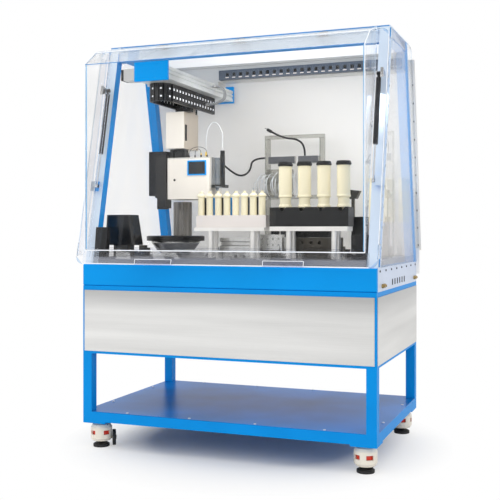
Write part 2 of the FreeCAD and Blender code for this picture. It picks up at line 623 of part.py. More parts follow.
# Balance with its smoked draught shield
bowl_shape = [("-bowl_radius", 0), (-76, 0), (-72, 10), (-54, 23), (-24, 63), (-24, 71), (0, 73), (0, 95),
              (-8, 98), ("-bowl_radius", 98)]
bowl = [(f"bowl_radius + {a}", f"{deck} + {b}") for a, b in bowl_shape]
shield_shape = [("-shield_radius", 98), (0, 98), (0, 270), (-4, 270), (-4, 102), ("-shield_radius", 102)]
shield = [(f"shield_radius + {a}", f"{deck} + {b}") for a, b in shield_shape]
group("balance", [turned(bowl, f"{left} + 266", -5, 0), turned(shield, f"{left} + 263", 84, 0)])

# Instruments that stand on the deck
ioniser_outline = [(f"{left} + 17", f"{deck} + 54"), (f"{left} + 184", f"{deck} + 54"),
                   (f"{left} + 159", f"{deck} + 200"), (f"{left} + 29", f"{deck} + 200")]
group("ioniser_box", [
    prism("XZ", [ioniser_outline], 100, y=f"{front} + 260", rounds=(14, long_edge)),
    box(f"{left} + 60", f"{left} + 140", f"{front} + 180", f"{front} + 240", deck, f"{deck} + 54"),
])
handset_outline = [(f"{front} + 14", deck), (f"{front} + 44", deck), (f"{front} + 58", f"{deck} + 134"),
                   (f"{front} + 50", f"{deck} + 140"), (f"{front} + 32", f"{deck} + 140")]
prism("YZ", [handset_outline], 62, x=f"{left} + 50", label="handset")
group("side_instrument", [
    prism("XY", [[(f"{right} - 170", f"{rack_y} + 135"), (f"{right} - 116", f"{rack_y} + 135"),
                  (f"{right} - 116", f"{rack_y} + 200"), (f"{right} - 170", f"{rack_y} + 200")]],
          186, z=deck, rounds=(5, long_edge)),
    box(f"{right} - 200", f"{right} - 188", f"{rack_y} + 210", f"{rack_y} + 230", deck, f"{deck} + 270"),
    prism("XZ", [[(f"{right} - 214", f"{deck} + 270"), (f"{right} - 176", f"{deck} + 270"),
                  (f"{right} - 160", f"{deck} + 306"), (f"{right} - 214", f"{deck} + 312")]],
          40, y=f"{rack_y} + 240"),
])
group("vial_module", [
    box(f"{right} - 180", f"{right} - 75", f"{rear} - 320", f"{rear} - 120", deck, f"{deck} + 165"),
    box(f"{right} - 172", f"{right} - 83", f"{rear} - 312", f"{rear} - 128", f"{deck} + 165",
        f"{deck} + 367"),
    box(f"{right} - 176", f"{right} - 79", f"{rear} - 316", f"{rear} - 124", f"{deck} + 367",
        f"{deck} + 376"),
])

# Pump unit: open frame, plates, bottles and a hose that ends in a pronged fitting
pump_back = f"({pump_y} + 24)"
pump = [
    box(-46, -22, pump_y, pump_back, deck, f"{deck} + 595"),
    box(247, 271, pump_y, pump_back, deck, f"{deck} + 595"),
    box(-46, 271, pump_y, pump_back, f"{deck} + 595", f"{deck} + 613"),
    box(-22, 122, f"{pump_y} - 18", f"{pump_y} + 6", f"{deck} + 465", f"{deck} + 503"),
    box(140, 247, f"{pump_y} - 18", f"{pump_y} + 6", f"{deck} + 465", f"{deck} + 503"),
    box(-22, 110, f"{pump_y} - 45", pump_y, f"{deck} + 295", f"{deck} + 435"),
    box(-22, 247, pump_y, pump_back, f"{deck} + 285", f"{deck} + 305"),
]
for n in range(4):
    bottle_x = 20 + 52 * n
    pump.append(rod("bottle_radius", 160, bottle_x, f"{pump_y} - 28", deck))
    pump.append(cone("bottle_radius", 9, 14, bottle_x, f"{pump_y} - 28", f"{deck} + 160"))
    pump.append(rod(9, 16, bottle_x, f"{pump_y} - 28", f"{deck} + 174"))
deck_z = size(deck)
line_y = size(f"{pump_y} - 28")
tip = V(0, line_y, deck_z + 630)
outward = V(62, 0, -35)
outward.normalize()
aim = FreeCAD.Rotation(V(0, 0, 1), outward * -1)
fitting = rod(8, 26, tip.x, tip.y, tip.z)
fitting.Placement.Rotation = aim
pump.append(fitting)
for across in (-4, 0, 4):
    start = tip - outward * 26 + V(0, across, 0)
    prong = rod(1.5, 14, start.x, start.y, start.z)
    prong.Placement.Rotation = aim
    pump.append(prong)
group("pump_unit", pump)
group("pump_hoses", [
    hose(5, [tip, (62, line_y, deck_z + 595), (140, line_y, deck_z + 589), (172, line_y + 22, deck_z + 553),
             (172, line_y + 22, deck_z + 503)]),
    hose(5, [(-250, line_y - 32, deck_z + 463), (-205, line_y - 17, deck_z + 420),
             (-160, line_y + 3, deck_z + 405), (-126, line_y + 28, deck_z + 435),
             (-122, line_y + 40, deck_z + 500), (-46, line_y + 40, deck_z + 500)]),
])

# Sloping door: clear sheet with side flanges, cut out for the bay, and two handles
face_low = f"2 * {slant}"
face_high = f"({hinge_z} - 8 - {plinth}) * {slant}"
hole_low = f"(bay_rise + 13) * {slant}"
hole_high = f"({bay_top} + 90 - {plinth}) * {slant}"
corner_x = size(door_half) - 1
face = prism("XZ", [
    [(f"-{door_half}", face_low), (door_half, face_low), (door_half, face_high), (f"-{door_half}",
                                                                                  face_high)],
    [(f"14 - {bay_half}", hole_low), (f"{bay_half} - 14", hole_low), (f"{bay_half} - 14", hole_high),
     (f"14 - {bay_half}", hole_high)],
], "acrylic", y=sheet_line(plinth), z=plinth,
    rounds=(34, lambda e: e.BoundBox.YLength > 4 and e.BoundBox.XLength < 0.1 and e.BoundBox.ZLength < 0.1
            and abs(e.BoundBox.XMax) > corner_x))
face.Placement.Rotation = FreeCAD.Rotation(V(1, 0, 0), -math.degrees(math.atan(sheet.get("post_slope"))))
side_low = f"({plinth} + 40)"
side_high = f"({hinge_z} - 45)"
flange = [(sheet_line(side_low), side_low), (sheet_line(side_low, -54), side_low),
          (sheet_line(side_high, -54), side_high), (sheet_line(side_high), side_high)]
grip_low = f"({plinth} + 4)"
grip_high = f"({plinth} + 28)"
grip = [(sheet_line(grip_low, f"{skin} + 12"), grip_low), (sheet_line(grip_low, skin), grip_low),
        (sheet_line(grip_high, skin), grip_high), (sheet_line(grip_high, f"{skin} + 12"), grip_high)]
group("door_sheet", [face, prism("YZ", [flange], "acrylic", x=f"-{door_half}"),
                     prism("YZ", [flange], "acrylic", x=f"{door_half} - acrylic"),
                     prism("YZ", [grip], 184, x=-400), prism("YZ", [grip], 184, x=216)])

# Clear bay on the door: bottom strip, face, slanted strip, top and two cheeks
inner = f"{bay_face} + acrylic"
sill = f"({bay_z} + acrylic)"
bay_strips = [
    [(bay_face, bay_z), (sheet_line(bay_z, skin), bay_z), (sheet_line(sill, skin), sill), (bay_face, sill)],
    [(bay_face, sill), (inner, sill), (inner, f"{bay_top} - 2"), (bay_face, bay_top)],
    [(bay_face, bay_top), (inner, f"{bay_top} - 2"), (f"{bay_face} + 97.5", f"{bay_top} + 67.8"),
     (f"{bay_face} + 96", f"{bay_top} + 73")],
    [(f"{bay_face} + 96", f"{bay_top} + 73"), (f"{bay_face} + 97.5", f"{bay_top} + 67.8"),
     (f"{bay_face} + 181", f"{bay_top} + 92.8"), (sheet_line(f"{bay_top} + 98", skin), f"{bay_top} + 98"),
     (sheet_line(f"{bay_top} + 103", skin), f"{bay_top} + 103"), (f"{bay_face} + 180", f"{bay_top} + 98")],
]
cheek = [(bay_face, bay_z), (sheet_line(bay_z, skin), bay_z),
         (sheet_line(f"{bay_top} + 103", skin), f"{bay_top} + 103"), (f"{bay_face} + 180",
                                                                      f"{bay_top} + 98"),
         (f"{bay_face} + 96", f"{bay_top} + 73"), (bay_face, bay_top)]
bay = [prism("YZ", [strip], f"2 * {bay_half} - 2 * acrylic",
             x=f"acrylic - {bay_half}") for strip in bay_strips]
bay.append(prism("YZ", [cheek], "acrylic", x=f"-{bay_half}"))
bay.append(prism("YZ", [cheek], "acrylic", x=f"{bay_half} - acrylic"))
group("door_bay", bay)

# Fittings on the door: hinge knuckles and the upper strut brackets
fittings = []
hook = [(sheet_line(f"{hinge_z} - 21"), f"{hinge_z} - 21"), (sheet_line(f"{hinge_z} - 9"),
                                                             f"{hinge_z} - 9"),
        (f"{hinge_y} - 3", f"{hinge_z} + 9"), (f"{hinge_y} - 3", f"{hinge_z} - 6")]
for x0 in (-420, -20, 380):
    knuckle = fuse([prism("YZ", [hook], 40, x=x0), rod("hinge_pin + 6", 40, x0, hinge_y, hinge_z, "X")])
    fittings.append(cut(knuckle, [rod("hinge_pin + pin_gap", 44, x0 - 2, hinge_y, hinge_z, "X")]))
strut_x = "(frame_width / 2 - strut_in)"
strut_y = post_line(strut_high, "-strut_out")
bracket = [(sheet_line(f"{strut_high} - 22"), f"{strut_high} - 22"),
           (sheet_line(f"{strut_high} + 22"), f"{strut_high} + 22"),
           (f"{strut_y} + 9", f"{strut_high} + 8"), (f"{strut_y} + 9", f"{strut_high} - 8")]
for plate_x, pin_x in ((f"-{strut_x} - 25", f"-{strut_x} - 14"), (f"{strut_x} + 13", f"{strut_x} - 12")):
    plate = prism("YZ", [bracket], 12, x=plate_x)
    fittings.append(fuse([plate, rod(4, 26, pin_x, strut_y, strut_high, "X")]))
group("door_fittings", fittings)

# Gas struts: the tube turns on the door bracket and the rod slides in it
high_y = size(strut_y)
high_z = size(strut_high)
fall = high_z - size(strut_low)
strut_long = fall * size(slant)
strut_turn = FreeCAD.Rotation(V(1, 0, 0), -math.degrees(math.atan(sheet.get("post_slope"))))
tube_profile = [(0, -8), (6, -8), (6, -20), (11, -20), (11, -320), ("4 + pin_gap", -320), ("4 + pin_gap",
                                                                                           -308),
                (8.5, -308), (8.5, -30), (0, -30)]
rod_profile = [(0, -38), (8.1, -38), (8.1, -46), (4, -46), (4, 8 - strut_long), (0, 8 - strut_long)]
for side, name in ((-1, "left"), (1, "right")):
    eye = fuse([turned(tube_profile, 0, 0, 0), rod(9, 16, -8, 0, 0, "X")])
    tube = cut(eye, [rod("4 + pin_gap", 20, -10, 0, 0, "X")], label=name + "_strut_tube")
    shaft = fuse([turned(rod_profile, 0, 0, 0), rod(9, 12, -6, 0, -strut_long, "X")],
                 label=name + "_strut_rod")
    for item in (tube, shaft):
        item.Placement = FreeCAD.Placement(V(side * size(strut_x), high_y, high_z), strut_turn)

# Levelling casters: swivel housing, wheel, thumbwheel and screw foot at each corner
bore = "8 + pin_gap"
housing_profile = [
    (bore, 30), ("housing_radius - 8", 30), ("housing_radius", 42), ("housing_radius", 92),
    ("housing_radius - 8", 106), (30, 110), (30, "caster_height"), (0, "caster_height"), (0, 100), (bore,
                                                                                                    100),
    (bore, 84), ("housing_radius - 8", 84), ("housing_radius - 8", 56), (bore, 56),
]
thumb_profile = [(bore, 58), ("housing_radius - 12", 58), ("housing_radius - 10", 60),
                 ("housing_radius - 10", 80),
                 ("housing_radius - 12", 82), (bore, 82)]
foot_profile = [(0, 0), ("pad_radius - 1", 0), ("pad_radius", 2), ("pad_radius", 12), (30, 17), (12, 19),
                (8, 22),
                (8, 96), (0, 96)]
hub = "6 + pin_gap"
wheel_profile = [(hub, 0), ("wheel_radius - 2", 0), ("wheel_radius", 2), ("wheel_radius", 14),
                 ("wheel_radius - 2", 16), (hub, 16)]
CORNERS = (("front_left", -1, -1, -59), ("front_right", 1, -1, 0), ("rear_right", 1, 1, 51),
           ("rear_left", -1, 1, -59))
for name, sx, sy, angle in CORNERS:
    x = f"{sx} * (frame_width / 2 - caster_in)"
    y = f"{sy} * (frame_depth / 2 - caster_in)"
    windows = []
    for way in (-35, 35, 120, -120):
        window = prism("XY", [[(-16, "-housing_radius - 5"), (16, "-housing_radius - 5"), (16, -30), (-16,
                                                                                                      -30)]],
                       20, z=60)
        window.Placement.Rotation = FreeCAD.Rotation(V(0, 0, 1), way)
        windows.append(window)
    shell = fuse([turned(housing_profile, 0, 0, 0), rod(6, 27, 0, "housing_radius - 6", "wheel_radius + 2",
                                                        "Y"),
                  rod(10, 3, 0, "housing_radius + 18", "wheel_radius + 2", "Y")])
    housing = cut(shell, windows, label=name + "_caster_housing")
    wheel = group(name + "_caster_wheel",
                  [turned(wheel_profile, 0, "housing_radius + 1.4", "wheel_radius + 2", axis="Y")])
    for item in (housing, wheel):
        item.Placement.Rotation = FreeCAD.Rotation(V(0, 0, 1), angle)
        place(item, x, y)
    turned(thumb_profile, x, y, 0, label=name + "_thumbwheel")
    turned(foot_profile, x, y, 0, label=name + "_levelling_foot")
doc.recompute()

# Check every object, then write one file for each named piece
NODES = """
base_frame bottom_shelf cabinet_panels plinth front_fascia deck_plate hood_posts hood_beams
clear_panels rear_wall panel_screws x_beam x_chain y_arm arm_end_caps y_motor x_carriage arm_chain
arm_hoses z_column dosing_head head_display head_hoses powder_tool syringe_tool deck_fixtures
small_rack large_rack small_hoppers large_hoppers balance ioniser_box handset side_instrument
vial_module pump_unit pump_hoses door_sheet door_bay door_fittings left_strut_tube left_strut_rod
right_strut_tube right_strut_rod
""".split()
for name, sx, sy, angle in CORNERS:
    for kind in ("caster_housing", "caster_wheel", "thumbwheel", "levelling_foot"):
        NODES.append(name + "_" + kind)
os.makedirs("parts", exist_ok=True)
for item in doc.Objects:
    if "Invalid" in item.State or "Error" in item.State:
        owner = item.InList[0].Label if item.InList else "none"
        raise SystemExit("object %s (%s) of %s is not valid" % (item.Label, item.Name, owner))
for label in NODES:
    item = doc.getObjectsByLabel(label)[0]
    shape = item.Shape
    if shape.isNull() or not shape.isValid():
        raise SystemExit("shape of %s is not valid" % label)
    box_of = shape.BoundBox
    print("%-28s solids %3d  x %8.1f %8.1f  y %8.1f %8.1f  z %8.1f %8.1f" % (
        label, len(shape.Solids), box_of.XMin, box_of.XMax, box_of.YMin, box_of.YMax, box_of.ZMin,
        box_of.ZMax))
    shape.exportStep(os.path.join("parts", label + ".step"))
print("nodes", len(NODES))
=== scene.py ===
import math
import bmesh
import bpy
from mathutils import Matrix, Vector


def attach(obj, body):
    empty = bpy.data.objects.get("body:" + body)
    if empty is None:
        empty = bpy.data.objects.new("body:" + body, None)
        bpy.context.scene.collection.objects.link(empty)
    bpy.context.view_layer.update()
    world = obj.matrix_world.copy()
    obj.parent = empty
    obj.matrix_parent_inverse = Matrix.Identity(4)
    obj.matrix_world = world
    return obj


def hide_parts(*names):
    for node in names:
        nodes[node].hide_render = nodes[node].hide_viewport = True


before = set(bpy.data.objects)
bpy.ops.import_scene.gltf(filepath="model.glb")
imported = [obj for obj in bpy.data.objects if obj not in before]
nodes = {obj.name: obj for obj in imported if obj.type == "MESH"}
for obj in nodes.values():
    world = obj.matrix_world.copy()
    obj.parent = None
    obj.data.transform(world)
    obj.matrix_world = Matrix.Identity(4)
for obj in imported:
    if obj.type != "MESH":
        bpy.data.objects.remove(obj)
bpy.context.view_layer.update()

scene = bpy.context.scene

# Added blocks, bars and strips are placed in millimetres, and everything else in metres
MM = 1000

# Beyond every part of the machine, in metres
FAR = 9

# Values that all finishes share
GLOSS_SPREAD = 0.06
LEAST_ROUGHNESS = 0.02
COAT_ROUGHNESS = 0.08
BUMP_DEPTH = 0.0004
SPECK_SHARE = 0.55
# Grey towards which a finish falls as painted shade near its top
PAINTED_SHADE_TONE = "#8f9092"

# Values that all see-through finishes share
ACRYLIC_IOR = 1.45
HAZE_SCALE = 9
HAZE_SPREAD = 0.03
SLANT_POWER = 3.0
SLANT_VEIL = 0.85
FOOT_VEIL = 0.52
FOOT_FADE = 0.008


def colour(text):
    """Linear colour from a screen colour in hex."""
    parts = [int(text[n:n + 2], 16) / 255 for n in (1, 3, 5)]
    return [c / 12.92 if c <= 0.04045 else ((c + 0.055) / 1.055) ** 2.4 for c in parts] + [1.0]


def shades(base, spread):
    """A darker and a lighter neighbour of a colour."""
    return [[min(1, c * (1 + way * spread)) for c in base[:3]] + [1.0] for way in (-1, 1)]


class Tree:
    """Short names for building a material's nodes."""

    def __init__(self, name):
        self.material = bpy.data.materials.new(name)
        self.material.use_nodes = True
        self.nodes = self.material.node_tree.nodes
        self.nodes.clear()
        self.out = self.nodes.new("ShaderNodeOutputMaterial")
        self.coords = self.nodes.new("ShaderNodeTexCoord")

    def add(self, kind, **values):
        """A new node with some of its settings."""
        node = self.nodes.new(kind)
        for key, value in values.items():
            setattr(node, key, value)
        return node

    def join(self, a, b):
        """A link from one node's output to another's input."""
        self.material.node_tree.links.new(a, b)

    def feed(self, value, socket):
        """Give an input a fixed value or another node's output."""
        if isinstance(value, bpy.types.NodeSocket):
            self.join(value, socket)
        else:
            socket.default_value = value

    def noise(self, scale, stretch, detail):
        """Noise in the piece's own space, stretched by three factors."""
        mapping = self.add("ShaderNodeMapping")
        mapping.inputs["Scale"].default_value = stretch
        self.join(self.coords.outputs["Object"], mapping.inputs["Vector"])
        texture = self.add("ShaderNodeTexNoise")
        texture.inputs["Scale"].default_value = scale
        texture.inputs["Detail"].default_value = detail
        self.join(mapping.outputs["Vector"], texture.inputs["Vector"])
        return texture.outputs["Fac"]

    def ramp(self, source, stops):
        """Two colours along a value; stops are two pairs of place and colour."""
        node = self.add("ShaderNodeValToRGB")
        for element, (spot, shade) in zip(node.color_ramp.elements, stops):
            element.position = spot
            element.color = shade
        self.join(source, node.inputs["Fac"])
        return node.outputs["Color"]

    def span(self, source, low, high):
        """A value from 0 to 1 turned into low to high."""
        node = self.add("ShaderNodeMapRange")
        node.inputs["To Min"].default_value = low
        node.inputs["To Max"].default_value = high
        self.join(source, node.inputs["Value"])
        return node.outputs["Result"]

    def climb(self, start, end, full=1.0):
        """A smooth value that goes from 0 at one height to full at another, in metres."""
        split = self.add("ShaderNodeSeparateXYZ")
        self.join(self.coords.outputs["Object"], split.inputs[0])
        node = self.add("ShaderNodeMapRange", interpolation_type="SMOOTHSTEP")
        node.inputs["From Min"].default_value = start
        node.inputs["From Max"].default_value = end
        node.inputs["To Max"].default_value = full
        self.join(split.outputs["Z"], node.inputs["Value"])
        return node.outputs["Result"]

    def blend(self, share, first, second, kind="MIX"):
        """Two colours mixed by a share."""
        node = self.add("ShaderNodeMix", data_type="RGBA", blend_type=kind)
        for value, socket in ((share, 0), (first, 6), (second, 7)):
            self.feed(value, node.inputs[socket])
        return node.outputs[2]

    def reckon(self, operation, first, second, use_clamp=False):
        """One arithmetic step on two values."""
        node = self.add("ShaderNodeMath", operation=operation, use_clamp=use_clamp)
        self.feed(first, node.inputs[0])
        self.feed(second, node.inputs[1])
        return node.outputs[0]

    def mix(self, share, first, second):
        """Two shaders mixed by a share."""
        node = self.add("ShaderNodeMixShader")
        for source, socket in zip((share, first, second), node.inputs):
            self.join(source, socket)
        return node.outputs[0]


def finish_of(name, base, rough, metal=0.0, grain=(1, 1, 1), scale=900, tint=0.05, bump=0.08, patch=6,
              coat=0.0, bands=(1, 1, 1), top=None, reach=0.12, shade_share=0.42, specular=0.5):
    """A surface with fine grain, slow drift of colour and uneven gloss.

    grain and scale set the fine noise, and bands and patch the slow one, which on some finishes is painted
    sheen and reflection.
    Where top is given, painted shade: the colour falls by a given share towards a grey, over the stretch
    reach below that height.
    """
    tree = Tree(name)
    shader = tree.add("ShaderNodeBsdfPrincipled")
    fine = tree.noise(scale, grain, 3)
    slow = tree.noise(patch, bands, 2)
    dark, light = shades(colour(base), tint)
    tone = tree.ramp(slow, [(0.3, dark), (0.7, light)])
    low, high = shades([0.5, 0.5, 0.5, 1], tint)
    speck = tree.ramp(fine, [(0.25, low), (0.75, high)])
    shade = tree.blend(SPECK_SHARE, tone, speck, "OVERLAY")
    # Painted shade: towards the height top, the colour falls towards a grey
    if top:
        shade = tree.blend(tree.climb(top - reach, top), shade, tree.blend(shade_share, shade, colour(PAINTED_SHADE_TONE)))
    tree.join(shade, shader.inputs["Base Color"])
    dull = tree.span(fine, max(LEAST_ROUGHNESS, rough - GLOSS_SPREAD), rough + GLOSS_SPREAD)
    tree.join(dull, shader.inputs["Roughness"])
    shader.inputs["Metallic"].default_value = metal
    shader.inputs["Coat Weight"].default_value = coat
    shader.inputs["Coat Roughness"].default_value = COAT_ROUGHNESS
    shader.inputs["Specular IOR Level"].default_value = specular
    lift = tree.add("ShaderNodeBump")
    lift.inputs["Strength"].default_value = bump
    lift.inputs["Distance"].default_value = BUMP_DEPTH
    tree.join(fine, lift.inputs["Height"])
    tree.join(lift.outputs["Normal"], shader.inputs["Normal"])
    tree.join(shader.outputs[0], tree.out.inputs[0])
    return tree.material


def see_through(name, base, rough, veil, foot=None):
    """Clear sheet: light goes straight through, with gloss and a faint veil that grow at a slant.

    Where foot is given, the sheet is milky below that height.
    """
    tree = Tree(name)
    shader = tree.add("ShaderNodeBsdfPrincipled")
    shader.inputs["Base Color"].default_value = colour(base)
    shader.inputs["IOR"].default_value = ACRYLIC_IOR
    shader.inputs["Transmission Weight"].default_value = 1.0
    haze = tree.noise(HAZE_SCALE, (1, 1, 1), 5)
    tree.join(tree.span(haze, rough, rough + HAZE_SPREAD), shader.inputs["Roughness"])
    clear = tree.add("ShaderNodeBsdfTransparent")
    clear.inputs["Color"].default_value = colour(base)
    slant = tree.add("ShaderNodeLayerWeight")
    share = tree.span(tree.reckon("POWER", slant.outputs["Facing"], SLANT_POWER), veil, SLANT_VEIL)
    if foot:
        share = tree.reckon("MAXIMUM", share, tree.climb(foot, foot - FOOT_FADE, FOOT_VEIL))
    path = tree.add("ShaderNodeLightPath")
    either = tree.reckon("MAXIMUM", path.outputs["Is Shadow Ray"], path.outputs["Is Diffuse Ray"])
    keep = tree.reckon("SUBTRACT", share, either, use_clamp=True)
    tree.join(tree.mix(keep, clear.outputs[0], shader.outputs[0]), tree.out.inputs[0])
    return tree.material


FINISHES = {
    "blue": finish_of("blue_powder_coat", "#008cdc", 0.42, scale=1400, tint=0.04, bump=0.12, specular=0.1),
    # Painted sheen: the shelf's strong slow drift of tone stands for its glossy highlights
    "shelf": finish_of("blue_shelf_gloss", "#0a6fba", 0.3, scale=900, tint=0.3, bump=0.05, patch=2.6,
                       specular=0.12),
    # Painted glare: a paler copy of the frame blue, for faces seen through the clear sheets
    "glare_blue": finish_of("blue_with_painted_glare", "#cddceb", 0.35, scale=1400, tint=0.03, bump=0.05),
    # Painted sheen: the fascia's slow drift of tone stands for its gradient of light
    "fascia": finish_of("blue_fascia", "#0094e4", 0.42, scale=1800, tint=0.12, bump=0.05, patch=1.4,
                        specular=0.1),
    # Painted reflection: the slow horizontal bands of the brushed steel; and painted shade, darker towards
    # its top edge at 0.741 m under the overhang
    "brushed": finish_of("brushed_steel", "#dcdcdb", 0.34, 0.8, (0.006, 0.006, 1), 1300, 0.2, 0.16, 9,
                         bands=(0.06, 0.06, 1), top=0.741),
    "deck": finish_of("deck_steel", "#8b8d94", 0.34, 0.8, (0.01, 1, 1), 900, 0.08, 0.1, 3),
    "alu": finish_of("anodised_aluminium", "#c9c9c8", 0.33, 0.75, (0.01, 1, 1), 900, 0.05, 0.08, 4),
    "alu_y": finish_of("anodised_aluminium_long", "#dcdedd", 0.36, 0.45, (1, 0.01, 1), 900, 0.05, 0.08, 4),
    "steel": finish_of("machined_steel", "#cdcdcb", 0.25, 0.9, (1, 1, 0.05), 1500, 0.06, 0.06, 12),
    "pale_steel": finish_of("bright_steel", "#eceae6", 0.3, 0.45, (1, 1, 0.05), 1500, 0.05, 0.06, 12),
    "chrome": finish_of("chrome_rod", "#d8d8d8", 0.12, 1.0, (1, 1, 0.02), 1200, 0.03, 0.02, 10),
    "dark_screw": finish_of("dark_screw", "#3b4046", 0.35, 0.6, scale=1500, tint=0.1),
    "screw": finish_of("bright_screw", "#e8e8e8", 0.3, 0.5, scale=1500, tint=0.05),
    "black": finish_of("black_moulded", "#0f1012", 0.42, scale=1600, tint=0.25, bump=0.25),
    "black_gloss": finish_of("black_gloss", "#0f1012", 0.34, scale=1200, tint=0.2, bump=0.06, coat=0.12),
    "rubber": finish_of("black_rubber", "#1c1c1e", 0.6, scale=1200, tint=0.2, bump=0.3),
    "slate": finish_of("slate_chain", "#3d4857", 0.4, scale=1200, tint=0.12, bump=0.1),
    "cream": finish_of("cream_coat", "#e8e2d8", 0.4, scale=1500, tint=0.02, bump=0.12),
    # Painted shade: a darker copy of the cream, for the column's right face and its neck
    "cream_in_painted_shade": finish_of("cream_in_painted_shade", "#b5aa9c", 0.4, scale=1500, tint=0.03, bump=0.12),
    # Painted shade: near black for the insides of vents, windows and slots
    "shade_in_hollows": finish_of("painted_shade_in_hollows", "#060607", 0.9, scale=900, tint=0.2, bump=0.02),
    "hopper": finish_of("hopper_plastic", "#e9e1c3", 0.45, scale=700, tint=0.04, bump=0.12),
    "white": finish_of("white_cover", "#f4f5f6", 0.3, scale=1500, tint=0.015, bump=0.04, coat=0.2),
    "rack_white": finish_of("rack_white", "#dcd6d2", 0.4, scale=1200, tint=0.02, bump=0.08),
    "service": finish_of("service_panel", "#bfcbe0", 0.35, scale=1400, tint=0.03, bump=0.06),
    # Painted shade: the rear wall darkens towards its top
    "wall": finish_of("rear_wall", "#fcfaf6", 0.45, scale=900, tint=0.012, bump=0.04, patch=1.5, top=1.75,
                      reach=0.8, shade_share=0.3),
    "wall_out": finish_of("rear_wall_back", "#cfcdc8", 0.45, scale=900, tint=0.02, bump=0.05, patch=1.5),
    # Dark steel of the mechanism, also painted shade under the ioniser box
    "dark_steel_and_shade": finish_of("dark_mechanism_and_painted_shade", "#5a564f", 0.42, 0.6, scale=800, tint=0.2, bump=0.15),
    "shield": finish_of("draught_shield", "#8a8681", 0.28, 0.3, (1, 1, 0.03), 70, 0.5, 0.05, 30,
                        bands=(1, 1, 0.04)),
    "brass": finish_of("brass_socket", "#b89b62", 0.3, 0.9, scale=1500, tint=0.08),
    "yellow": finish_of("yellow_fitting", "#e9c64b", 0.4, scale=1100, tint=0.06, bump=0.1),
    "dark_bar": finish_of("dark_bar", "#55575b", 0.4, 0.3, scale=1100, tint=0.08, bump=0.1),
    # Painted highlights on the edges of the clear sheets: white, pale blue, and a deeper blue painted
    # reflection
    "lit": finish_of("lit_acrylic_edge", "#f6f9fe", 0.3, scale=700, tint=0.02, bump=0.04, coat=0.3),
    "lit_blue": finish_of("blue_lit_acrylic_edge", "#7cc0f2", 0.3, scale=700, tint=0.04, bump=0.04,
                          coat=0.3),
    "blue_edge_reflection": finish_of("painted_blue_edge_reflection", "#1c86cf", 0.3, scale=700, tint=0.1, bump=0.04, coat=0.3),
    "caster": finish_of("caster_body", "#e9e2d4", 0.4, scale=1100, tint=0.04, bump=0.15),
    "red": finish_of("thumbwheel_red", "#d8341c", 0.4, scale=1100, tint=0.08, bump=0.12),
    "grey_hose": finish_of("grey_hose", "#85888b", 0.4, scale=900, tint=0.1, bump=0.2),
    "screen": finish_of("dark_screen", "#101418", 0.3, scale=600, tint=0.1, bump=0.01, coat=0.15),
    "pale_tube": finish_of("pale_tube", "#cfd2d5", 0.3, scale=900, tint=0.03, bump=0.05),
    "rim": see_through("clear_acrylic_rim", "#dceaf8", 0.05, 0.6),
    "clear": see_through("clear_acrylic", "#fefefe", 0.01, 0.02),
    "door_clear": see_through("clear_door_sheet", "#fdfdfe", 0.02, 0.02, foot=0.93),
    "frosted": see_through("frosted_frame", "#dcdcd8", 0.2, 0.4),
    "grip": see_through("clear_grip", "#d9dcea", 0.1, 0.7),
    "glass": see_through("syringe_glass", "#ccd3da", 0.08, 0.3),
}

# Finishes of the CAD nodes


def above(limit):
    """From a place to beyond the machine, in metres."""
    return limit, FAR


def below(limit):
    """From beyond the machine to a place, in metres."""
    return -FAR, limit


def within(x=(-FAR, FAR), y=(-FAR, FAR), z=(-FAR, FAR), side=(-FAR, FAR), turned=None):
    """A test of a face's centre, in metres.

    side is the distance from the machine's middle plane, and turned names a further test on the normal.
    """
    def test(centre, normal):
        return (x[0] < centre.x < x[1] and y[0] < centre.y < y[1] and z[0] < centre.z < z[1]
                and side[0] < abs(centre.x) < side[1] and (turned is None or turned(normal)))
    return test


def to_front(normal):
    """True for a face that looks to the front."""
    return normal.y < -0.9


def to_right(normal):
    """True for a face that looks to the right."""
    return normal.x > 0.9


def not_to_front(normal):
    """True for a face that doesn't look to the front."""
    return normal.y > -0.5


def paint(node, main, *rules):
    """Give a node its main finish, and other finishes to some of its faces.

    A rule is a finish followed by tests, and a face takes the first finish of which one test holds.
    """
    mesh = nodes[node].data
    mesh.materials.clear()
    for key in [main] + [rule[0] for rule in rules]:
        mesh.materials.append(FINISHES[key])
    for face in mesh.polygons:
        face.material_index = 0
        for n, (key, *tests) in enumerate(rules, start=1):
            if any(test(face.center, face.normal) for test in tests):
                face.material_index = n
                break


# Frame, cabinet and hood
paint("base_frame", "blue")
paint("bottom_shelf", "shelf")
paint("cabinet_panels", "brushed")
paint("plinth", "service", ("brass", within(x=above(0.7005))), ("blue", within(side=below(0.69))))
paint("front_fascia", "fascia")
paint("deck_plate", "deck")
# Faces of the posts seen through the clear sheets, and a band of the beams, take the paler blue of painted
# glare
paint("hood_posts", "blue",
      ("glare_blue", within(y=below(0), turned=to_front), within(y=below(0), side=above(0.699))))
paint("hood_beams", "blue",
      ("glare_blue", within(y=below(0), z=(1.862, 1.911), side=below(0.65))),
      ("service", within(side=above(0.699)), within(z=above(1.92), side=above(0.656))),
      ("steel", within(y=below(-0.192), z=(1.89, 1.92), side=below(0.66))))
paint("clear_panels", "clear")
paint("rear_wall", "wall", ("wall_out", within(turned=not_to_front)))
paint("panel_screws", "dark_screw", ("screw", within(z=below(0.3))))

# Gantry, column and head
paint("x_beam", "alu", ("white", within(y=below(0.1095), z=above(1.8615))))
paint("x_chain", "slate")
paint("y_arm", "alu_y")
paint("arm_end_caps", "fascia")
paint("y_motor", "alu", ("black", within(x=below(-0.474))))
paint("x_carriage", "alu")
paint("arm_chain", "black")
